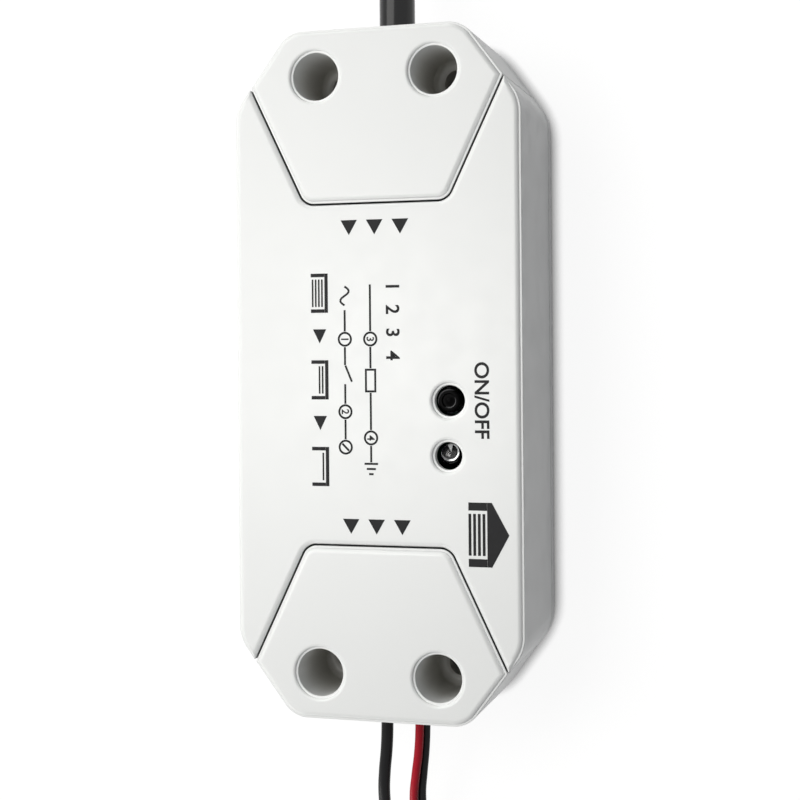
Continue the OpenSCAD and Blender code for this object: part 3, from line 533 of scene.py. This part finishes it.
twin_x = [0.55, 0.55, 0.6, 0.7, 0.8, 0.9, 1, 1.05, 1.15, 1.19, 1.19]
twin_drop = [1.1, 1.1, 1.08, 1.05, 1, 0.95, 0.9, 0.75, 0.5, 0.1, 0]
pole_in, bend_in, wall_in, pole_x, pole_share, red_lift = (-12, -9.2), -5.2, -2.4, 3.5, 0.97, 1.05
lead_route = laid([(-pole_x, y, pole_share) for y in pole_in]
                  + [(-2.6, bend_in, 0.99), (lead_x[0], wall_in, 1)]
                  + list(zip(lead_x, past, drop)), -1, lead_r + tie_room)
red_route = laid([(0, y, pole_share) for y in pole_in]
                 + [(1.6, bend_in, 1.03), (red_x[0], wall_in, red_lift)]
                 + [(x, y, red_lift * z) for x, y, z in zip(red_x, past, drop)], -1, twin_r + tie_room)
pair_drop, pair_bend = 1.86 * twin_r, Vector((1.4, 0, -0.9)) * mm
beside = [Vector((x * mm, 0, -pair_drop * z)) for x, z in zip(twin_x, twin_drop)]
twin_route = laid([(pole_x, y, pole_share) for y in pole_in], -1, twin_r + tie_room)
twin_route += [red_route[2] + pair_bend, red_route[3] + beside[0]]
twin_route += [at + step for at, step in zip(red_route[4:], beside)]

# Bored end caps
# The two caps, each with its end wall bored where the cords leave: one round hole for the mains cable at
# the input, and at the output one for the single lead and one longer hole for the pair.
end_cap("input_cap_moulding", "input_end_cap", 1, [([cable_route[2]], cable_r)])
end_cap("output_cap_moulding", "output_end_cap", -1, [
    ([lead_route[4]], lead_r), ([red_route[4], twin_route[4]], twin_r)])

# Mains cable
# A short round pigtail in a black PVC sheath with a soft gloss. Its brown and blue cores go to the
# input terminals inside, and at the far end they stand out of the sheath with twisted tinned tips.
sheath_pvc = moulded("sheath_pvc", (0.004, 0.004, 0.0045), 0.2, grain=0.5 * mm, relief=0.006 * mm, mottle=0.2,
                     Specular_IOR_Level=0.36)
brown_pvc = moulded("brown_pvc", (0.2, 0.07, 0.02), 0.4, grain=0.4 * mm, relief=0.008 * mm, mottle=0.1)
blue_pvc = moulded("blue_pvc", (0.03, 0.1, 0.42), 0.4, grain=0.4 * mm, relief=0.008 * mm, mottle=0.1)
tinned = moulded("tinned_strands", (0.72, 0.69, 0.63), 0.3, metal=1.0, mottle=0.15, patch=1 * mm)


def cord_piece(name, routes, radius, material, slot, *nodes):
    """Round cords along routes, as one curve with a spline for each."""
    curve = bpy.data.curves.new(name, "CURVE")
    curve.dimensions = "3D"
    curve.bevel_depth = radius
    curve.bevel_resolution = 7
    curve.resolution_u = 8
    curve.use_fill_caps = True
    for route in routes:
        spline = curve.splines.new("BEZIER")
        spline.bezier_points.add(len(route) - 1)
        for point, place in zip(spline.bezier_points, route):
            point.co = place
            point.handle_left_type = point.handle_right_type = "AUTO"
    curve.materials.append(material)
    piece = bpy.data.objects.new(name, curve)
    bpy.context.collection.objects.link(piece)
    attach(piece, "housing")
    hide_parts(*nodes)
    return piece


def strands(route, radius, length=6 * mm, around=6, twist=2.2 * math.tau, steps=16):
    """Routes of the strands of a stripped end: one straight, the others twisted round it."""
    axis = (route[-1] - route[-2]).normalized()
    side = axis.orthogonal().normalized()
    straight = [[route[-1], route[-1] + axis * length]]
    wound = [[route[-1] + axis * length * i / steps
              + Matrix.Rotation(math.tau * k / around + twist * i / steps, 3, axis) @ side * radius * 2 / 3
              for i in range(steps + 1)] for k in range(around)]
    return straight + wound


def core_route(side):
    return laid([(side * 1, -6.5, 1), (side * 1, -7.1, 1), (side * 2.5, -8.8, 0.96), (side * 2.5, -12, 0.96)],
                1, cable_low)


core_r, tip_share = 0.95 * mm, 0.62


def tail_route(side):
    end, low = cable_route[-1], core_r + 0.05 * mm
    places = [(1, 0, 1), (1, 1.5, 1), (1.6, 6, 0.65), (2.8, 11, 0.25), (4, 16, 0)]
    return [Vector((end.x + side * x * mm, end.y + y * mm, low + (end.z - low) * share))
            for x, y, share in places]


def stripped_ends(name, routes, radius, node):
    """The twisted tinned strands at the bared ends of cords."""
    bared = radius * tip_share
    bundles = [strand for route in routes for strand in strands(route, bared)]
    return cord_piece(name, bundles, bared / 3, tinned, "tinned_copper", node)


mains = cord_piece("mains_cable_sheath", [cable_route], cable_r, sheath_pvc, "sheath_black", "mains_cable")
cord_piece("live_core_wire", [core_route(-1)], core_r, brown_pvc, "core_brown", "live_core")
cord_piece("neutral_core_wire", [core_route(1)], core_r, blue_pvc, "core_blue", "neutral_core")
live_end = cord_piece("live_tail_wire", [tail_route(-1)], core_r, brown_pvc, "core_brown", "live_tail")
neutral_end = cord_piece("neutral_tail_wire", [tail_route(1)], core_r, blue_pvc, "core_blue", "neutral_tail")
mains_ends = stripped_ends("mains_tip_strands", [tail_route(-1), tail_route(1)], core_r, "mains_tips")

# Output leads
# Thin PVC leads from the output terminals: a single black one, and a red and a black one side by side.
# The spare length is wound up: in on a lower layer, a climb where it turns, and out on an upper layer.
black_pvc = moulded("black_pvc", (0.012, 0.012, 0.013), 0.36, grain=0.5 * mm, relief=0.01 * mm, mottle=0.2,
                    Specular_IOR_Level=0.12)
red_pvc = moulded("red_pvc", (0.4, 0.008, 0.02), 0.36, grain=0.4 * mm, relief=0.008 * mm, mottle=0.12,
                  Specular_IOR_Level=0.15)
turn_gap, loops, points_a_loop, climb = 0.45 * mm, 1.1, 48, 0.5


def smooth_step(t):
    t = max(0, min(1, t))
    return t * t * (3 - 2 * t)


def coil_route(start, side, r_in, step, lift, d):
    """A lead's coil, from where it meets the free stretch to the straight end."""
    count, r_out = round(points_a_loop * loops), r_in + step * loops
    centre = start + Vector((side * r_out, -d, 0))
    route = [start]
    for i in range(count + 1):
        u = 2 * loops * i / count
        r, a = r_in + step * abs(u - loops), math.tau * u
        route.append(centre + Vector((-side * r * math.cos(a), -r * math.sin(a),
                                      lift * smooth_step((u - loops) / climb + 0.5))))
    return route + [route[-1] + d * Vector((side * math.sin(a), -math.cos(a), 0))]


lead_d, twin_d, lead_r_in, twin_r_in = 2 * lead_r, 2 * twin_r, 6.8 * mm, 6.2 * mm
twin_pair = twin_x[-1] * mm
lead_layer, twin_layer = lead_d + turn_gap, twin_d + turn_gap
twin_step = twin_pair + twin_layer
lead_coil = coil_route(lead_route[-1], -1, lead_r_in, lead_layer, lead_layer, lead_d)
red_coil = coil_route(red_route[-1], 1, twin_r_in + twin_pair, twin_step, twin_layer, twin_d)
twin_coil = coil_route(twin_route[-1], 1, twin_r_in, twin_step, twin_layer, twin_d)
lead_ends = stripped_ends("lead_tip_strands", [lead_coil], lead_r, "lead_tips")
twin_ends = stripped_ends("twin_tip_strands", [red_coil, twin_coil], twin_r, "lead_tips")

# Coil ties
# Narrow bands of natural nylon, closed round the turns of each coil and drawn snug, which hold the spare
# length together until the leads are wired up.
nylon = moulded("natural_nylon", (0.8, 0.79, 0.75), 0.45, grain=0.3 * mm, relief=0.006 * mm,
                Subsurface_Weight=0.15, Subsurface_Radius=(mm, mm, mm))
tie_at, tie_gap, tie_t, tie_w, tie_corner = 0.44, 0.1 * mm, 0.4 * mm, 2.4 * mm, 0.7 * mm


def tie(name, node, start, side, r_in, step, extra, layer, d):
    r_out = r_in + step * loops
    near = r_in + step * abs(1 + tie_at - loops) - d / 2
    far = r_in + step * abs(tie_at - loops) + extra + d / 2
    room = 2 * (tie_gap + tie_t)
    bm = bmesh.new()
    bmesh.ops.create_cube(bm, size=1)
    bmesh.ops.scale(bm, verts=bm.verts, vec=(far - near + room, tie_w, layer + d + room))
    bmesh.ops.delete(bm, geom=[f for f in bm.faces if abs(f.normal.y) > 0.9], context="FACES_ONLY")
    bevel(bm, [e for e in bm.edges if not e.is_boundary], tie_corner, 5)
    bmesh.ops.solidify(bm, geom=bm.faces, thickness=tie_t)
    bmesh.ops.recalc_face_normals(bm, faces=bm.faces)
    bevel(bm, [e for e in bm.edges if e.calc_face_angle(0) > sharp_angle], tie_t / 5, 2)
    bmesh.ops.translate(bm, verts=bm.verts, vec=((near + far) / 2, 0, 0))
    turn = math.radians(90 + side * (90 + 360 * tie_at))
    place = Matrix.Translation(start + Vector((side * r_out, -d, layer / 2))) @ Matrix.Rotation(turn, 4, "Z")
    bmesh.ops.transform(bm, matrix=place, verts=bm.verts)
    return finished(name, bm, nylon, nodes=[node])


lead_band = tie("black_lead_band", "black_lead_tie", lead_route[-1], -1, lead_r_in, lead_layer, 0,
                lead_layer, lead_d)
twin_band = tie("twin_lead_band", "twin_lead_tie", twin_route[-1], 1, twin_r_in, twin_step, twin_pair,
                twin_layer, twin_d)
for name, route, coil, r, material, slot, nodes, ends in (
        ("black_lead_cord", lead_route, lead_coil, lead_r, black_pvc, "lead_black",
         ("black_lead", "black_lead_coil"), [lead_ends, lead_band]),
        ("red_lead_cord", red_route, red_coil, twin_r, red_pvc, "lead_red",
         ("red_lead", "red_lead_coil"), [twin_ends, twin_band]),
        ("twin_black_lead_cord", twin_route, twin_coil, twin_r, black_pvc, "lead_black",
         ("twin_black_lead", "twin_black_coil"), [])):
    whole = route + coil[1:]
    cord = cord_piece(name, [whole], r, material, slot, *nodes)

# Push button
# The stem of the push switch on the board, turned in black nylon, with a shallow dish and a centre
# nub on its end; it is pressed through its hole with a fingertip or a pen.
black_nylon = moulded("black_nylon", (0.003, 0.003, 0.0032), 0.16, grain=0.1 * mm, relief=0.002 * mm,
                      mottle=0.15, Specular_IOR_Level=0.01)


def paint_facing_highlight(material, shade, towards):
    """Paints a highlight into the colour of the slopes that face one way, as if lit from that side."""
    tree = material.node_tree
    base = tree.nodes["Principled BSDF"].inputs["Base Color"]
    facing = tree.nodes.new("ShaderNodeTexCoord")
    slope = tree.nodes.new("ShaderNodeVectorMath")
    slope.operation = "DOT_PRODUCT"
    slope.inputs[1].default_value = towards
    highlight_share = tree.nodes.new("ShaderNodeMapRange")
    set_values(highlight_share, From_Min=0.2, From_Max=0.6)
    mix = tree.nodes.new("ShaderNodeMix")
    mix.data_type = "RGBA"
    mix.inputs[7].default_value = shade + (1,)
    tree.links.new(facing.outputs["Normal"], slope.inputs[0])
    tree.links.new(slope.outputs["Value"], highlight_share.inputs["Value"])
    tree.links.new(highlight_share.outputs[0], mix.inputs[0])
    tree.links.new(base.links[0].from_socket, mix.inputs[6])
    tree.links.new(mix.outputs[2], base)


# Painted highlight: the stem's slopes that face the lamps at the upper left are lightened in its colour.
paint_facing_highlight(black_nylon, (0.14, 0.14, 0.145), (-0.7, 0.7, 0))
stem_x, stem_y, stem_r, stem_round = 9.3 * mm, button_hole[1], 1.45 * mm, 0.28 * mm
stem_low, stem_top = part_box("push_button")[0].z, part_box("push_button")[1].z
dish_r, dish_foot_r, dish_depth, nub_r, nub_h = 0.95 * mm, 0.8 * mm, 0.26 * mm, 0.28 * mm, 0.16 * mm
bm = bmesh.new()
spun(bm, [(0, stem_low), (stem_r, stem_low), (stem_r, stem_top), (dish_r, stem_top),
          (dish_foot_r, stem_top - dish_depth), (nub_r, stem_top - dish_depth),
          (0, stem_top - dish_depth + nub_h)], stem_x, stem_y, 48)
bevel(bm, ring_edges(bm, stem_x, stem_y, stem_r, stem_top), stem_round, 5)
finished("push_button_stem", bm, black_nylon, body="button", nodes=["push_button"],
         crease=50)

# Indicator lamp
# A three-millimetre lamp of clear cast epoxy with a domed end and a flange. Its leadframe shows
# through: a silvered cup on one post that holds the dark die, and the pointed head of the other post.
clear_epoxy = moulded("clear_epoxy", (0.93, 0.95, 0.97), 0.06, relief=0.0005 * mm, mottle=0.01,
                      Transmission_Weight=1.0, IOR=1.5, Specular_IOR_Level=0.2)
silvered = moulded("silvered_frame", (0.45, 0.45, 0.44), 0.3, metal=1.0, mottle=0.15, patch=0.6 * mm)
black_die = moulded("black_die", (0.004, 0.004, 0.004), 0.3, relief=0.001 * mm, mottle=0.2,
                    Specular_IOR_Level=0.05)
lens_r, flange, flange_t = 1.5 * mm, 0.4 * mm, 0.8 * mm
lens_low, lens_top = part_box("status_lamp")[0].z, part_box("status_lamp")[1].z
lamp_x, lamp_y = lamp_hole[0], lamp_hole[1]
dome = [math.radians(a) for a in range(0, 91, 9)]
bm = bmesh.new()
spun(bm, [(0, lens_low), (lens_r + flange, lens_low), (lens_r + flange, lens_low + flange_t),
          (lens_r, lens_low + flange_t)]
     + [(lens_r * math.cos(a), lens_top - lens_r + lens_r * math.sin(a)) for a in dome], lamp_x, lamp_y, 48)
finished("lamp_lens", bm, clear_epoxy, nodes=["status_lamp"])
cup_x, cup_y, cup_z = lamp_x - 0.22 * mm, lamp_y + 0.32 * mm, lens_top - 1.6 * mm
cup_r, cup_h, cup_depth, cone_h, stalk_r = 0.8 * mm, 0.8 * mm, 0.25 * mm, 0.4 * mm, 0.3 * mm
rim_r, rim_shift, frame_low = 0.7 * mm, Vector((-0.06, -0.03, 0)) * mm, lens_low + 0.2 * mm
bm = bmesh.new()
spun(bm, [(0, cup_z - cup_depth), (rim_r, cup_z - cup_depth), (rim_r, cup_z), (cup_r, cup_z),
          (cup_r, cup_z - cup_h), (stalk_r, cup_z - cup_h - cone_h), (stalk_r, frame_low),
          (0, frame_low)], cup_x, cup_y, 32)
inner_rim = {v for e in ring_edges(bm, cup_x, cup_y, rim_r, cup_z) for v in e.verts}
bmesh.ops.translate(bm, verts=list(inner_rim), vec=rim_shift)
head_low, head_top = cup_z + 0.03 * mm, cup_z + 0.12 * mm
head = [(-0.4, 0.93), (0.1, -0.05), (0.3, 0.93)]
add_block(bm, [(cup_x + x * mm, cup_y + y * mm) for x, y in head], head_low, head_top)
post = [(-0.3, 0.83), (0.2, 0.83), (0.2, 0.93), (-0.3, 0.93)]
add_block(bm, [(cup_x + x * mm, cup_y + y * mm) for x, y in post], frame_low, head_low)
finished("lamp_leadframe", bm, silvered)
die_gap = 0.02 * mm
die_r, die_low, die_top = rim_r - rim_shift.length - die_gap, cup_z - cup_depth + die_gap, cup_z - 2 * die_gap
bm = bmesh.new()
spun(bm, [(0, die_low), (die_r, die_low), (die_r, die_top), (0, die_top)],
     cup_x + rim_shift.x, cup_y + rim_shift.y, 32)
finished("lamp_die", bm, black_die)

# Circuit board and the parts on it
# Hidden once the box is closed: solder-resist green boards, moulded cases, sleeved capacitors, the
# ferrite and tape of the transformer, tin-plated screws and frames.
finishes = {
    "board_green": moulded("green_resist", (0.05, 0.22, 0.1), 0.3, mottle=0.2, patch=2 * mm),
    "board_blue": moulded("blue_resist", (0.03, 0.08, 0.2), 0.3, mottle=0.2, patch=2 * mm),
    "component_black": moulded("black_case", (0.03, 0.03, 0.032), 0.45, mottle=0.15, patch=1.5 * mm),
    "component_blue": moulded("blue_case", (0.06, 0.14, 0.42), 0.35, mottle=0.08),
    "ferrite": moulded("grey_ferrite", (0.06, 0.06, 0.062), 0.6, relief=0.02 * mm, mottle=0.25, patch=1 * mm),
    "winding_tape": moulded("yellow_tape", (0.85, 0.58, 0.08), 0.25, mottle=0.06, patch=3 * mm,
                            stretch=(1, 1, 8)),
    "resistor_green": moulded("green_coating", (0.12, 0.3, 0.16), 0.5, relief=0.015 * mm, mottle=0.15,
                              patch=1 * mm),
    "terminal_green": moulded("green_terminal", (0.05, 0.3, 0.14), 0.4, mottle=0.06),
    "plated_steel": moulded("tin_plate", (0.7, 0.71, 0.73), 0.32, metal=1.0, mottle=0.06, stretch=(1, 12, 1)),
}
for part in frame["record"]["subparts"]:
    if part["material_slot"] in finishes:
        for holder in frame["nodes"][part["node"]].material_slots:
            holder.material = finishes[part["material_slot"]]

# Printed marks
# Black pad printing on the top face, no thicker than a coat of ink: arrows for the way the current runs,
# ON and OFF beside the button, a row of doors, a wiring sketch with numbered poles, and a garage.
ink = moulded("printing_ink", (0.012, 0.012, 0.013), 0.55, grain=0.05 * mm, relief=0.002 * mm, mottle=0.3,
              patch=mm, Specular_IOR_Level=0.15)
ink_low, ink_top = height - 0.01 * mm, height + 0.015 * mm
line_w, ink_gap = 0.26, 0.02
bm = bmesh.new()


def inked(start, corners):
    """A patch of ink. A row runs down the face from its start, and up in it is towards the button's side."""
    add_block(bm, [((start[0] + v) * mm, (start[1] - u) * mm) for u, v in corners], ink_low, ink_top)


def bar(start, u, v, length, thickness):
    inked(start, [(u, v), (u + length, v), (u + length, v + thickness), (u, v + thickness)])


def stroke(start, *points):
    """A thin line from point to point."""
    for a, b in zip(points, points[1:]):
        side = (Vector(b) - Vector(a)).orthogonal().normalized() * line_w / 2
        inked(start, [Vector(a) + side, Vector(a) - side, Vector(b) - side, Vector(b) + side])


def ring(start, u, v, radius):
    """A thin printed circle."""
    spun_ring(bm, (radius - line_w) * mm, radius * mm, ink_low, ink_top,
              (start[0] + v) * mm, (start[1] - u) * mm, 40)


def lettering(start, words, u, v, cap_height, length=None):
    """Letters of the built-in face, centred on a place in a row and drawn out to a length if it is given."""
    font = bpy.data.curves.new("lettering", "FONT")
    font.body = words
    font.resolution_u = 6
    font.offset = 0.018
    text = bpy.data.objects.new("lettering", font)
    flat = bpy.data.meshes.new_from_object(text)
    made = bmesh.new()
    made.from_mesh(flat)
    bmesh.ops.remove_doubles(made, verts=made.verts, dist=0.0001)
    low = Vector([min(p.co[i] for p in made.verts) for i in range(3)])
    span = Vector([max(p.co[i] for p in made.verts) for i in range(3)]) - low
    middle = low + Vector((span.x / 2, span.y / 2, 0))
    tall = cap_height / span.y * mm
    wide = length / span.x * mm if length else tall
    raised = bmesh.ops.extrude_face_region(made, geom=made.faces)["geom"]
    bmesh.ops.translate(made, verts=[p for p in raised if isinstance(p, bmesh.types.BMVert)], vec=(0, 0, 1))
    fit = Matrix.Diagonal((wide, tall, ink_top - ink_low, 1))
    place = Matrix.Translation(((start[0] + v) * mm, (start[1] - u) * mm, ink_low)) @ Matrix.Rotation(
        -math.pi / 2, 4, "Z") @ fit @ Matrix.Translation(-middle)
    bmesh.ops.transform(made, matrix=place, verts=made.verts)
    made.to_mesh(flat)
    made.free()
    bm.from_mesh(flat)
    bpy.data.objects.remove(text)
    bpy.data.curves.remove(font)
    bpy.data.meshes.remove(flat)


def arrow(start, u, v, length, width):
    inked(start, [(u, v - width / 2), (u + length, v), (u, v + width / 2)])


for start in ((0, 19.6), (0, -18.3)):
    for x in (-3.4, 0, 3.4):
        arrow(start, 0, x, 1.9, 2.2)
lettering((12.9, 1.5), "ON/OFF", 4.75, 0.95, 1.9, length=9.5)

door_row, door_pitch, door_w, door_h, door_line = (-8.6, 12.9), 11.05, 5, 2.3, 0.45
slat_in, slat_drop, slat_rise, slat_t = 0.75, 0.9, 0.42, 0.22
for k, slats in enumerate((4, 2, 1)):
    u = k * door_pitch
    bar(door_row, u, door_h - door_line, door_w, door_line)
    for post_u in (u, u + door_w - door_line):
        bar(door_row, post_u, 0, door_line, door_h - door_line - ink_gap)
    for slat in range(slats):
        bar(door_row, u + slat_in, door_h - slat_drop - slat * slat_rise, door_w - 2 * slat_in, slat_t)
for k in range(2):
    arrow(door_row, 7.1 + k * door_pitch, door_h / 2, 1.8, 1.8)

mid, pole_r = 0.95, 0.95


def pole(start, u, number):
    """A numbered pole."""
    ring(start, u, mid, pole_r)
    lettering(start, number, u, mid, 1)


def wires(start, *runs):
    """Straight wires along the middle of a row, each from one place to another."""
    for a, b in runs:
        stroke(start, (a, mid), (b, mid))


mains_row = (-5, 11.4)
stroke(mains_row, *[(0.2 + i * 0.3, mid + 0.6 * math.sin(math.tau * i / 8)) for i in range(9)])
wires(mains_row, (3.2, 5.9), (7.9, 10.2), (12.6, 15.1), (17.1, 19.6))
stroke(mains_row, (10.25, mid + 0.05), (12.3, 1.85))
pole(mains_row, 6.9, "1")
pole(mains_row, 16.1, "2")
ring(mains_row, 20.6, mid, pole_r)
stroke(mains_row, (20.15, mid - 0.45), (21.05, mid + 0.45))
relay_row, coil_u, coil_l, coil_h = (-1.6, 11.4), 10.65, 3, 1.5
wires(relay_row, (0, 5.9), (7.9, 10.6), (13.7, 18.4), (20.4, 22.5))
pole(relay_row, 6.9, "3")
pole(relay_row, 19.4, "4")
for v in (mid - coil_h / 2, mid + coil_h / 2 - line_w):
    bar(relay_row, coil_u, v, coil_l, line_w)
for u in (coil_u, coil_u + coil_l - line_w):
    bar(relay_row, u, mid - coil_h / 2 + line_w + ink_gap / 2, line_w, coil_h - 2 * line_w - ink_gap)
for k, tall in enumerate((1.8, 1.2, 0.6)):
    bar(relay_row, 22.55 + 0.65 * k, mid - tall / 2, line_w, tall)
legend_row = (1.4, 11.6)
for k, number in enumerate("1234"):
    lettering(legend_row, number, 0.5 + 2.9 * k, mid, 1.8)

garage_row, garage_w, garage_h, garage_post, eaves, lintel = (12, -15.9), 8, 5.2, 1, 3, 2.4
panel_gap, panel_rise, panel_t = 0.4, 0.6, 0.36
inked(garage_row, [(0, lintel), (garage_w, lintel), (garage_w, eaves), (garage_w / 2, garage_h), (0, eaves)])
for u in (0, garage_w - garage_post):
    bar(garage_row, u, 0, garage_post, lintel - ink_gap)
panel_u = garage_post + panel_gap
for k in range(4):
    bar(garage_row, panel_u, panel_rise * k, garage_w - 2 * panel_u, panel_t)
finished("printed_marks", bm, ink)
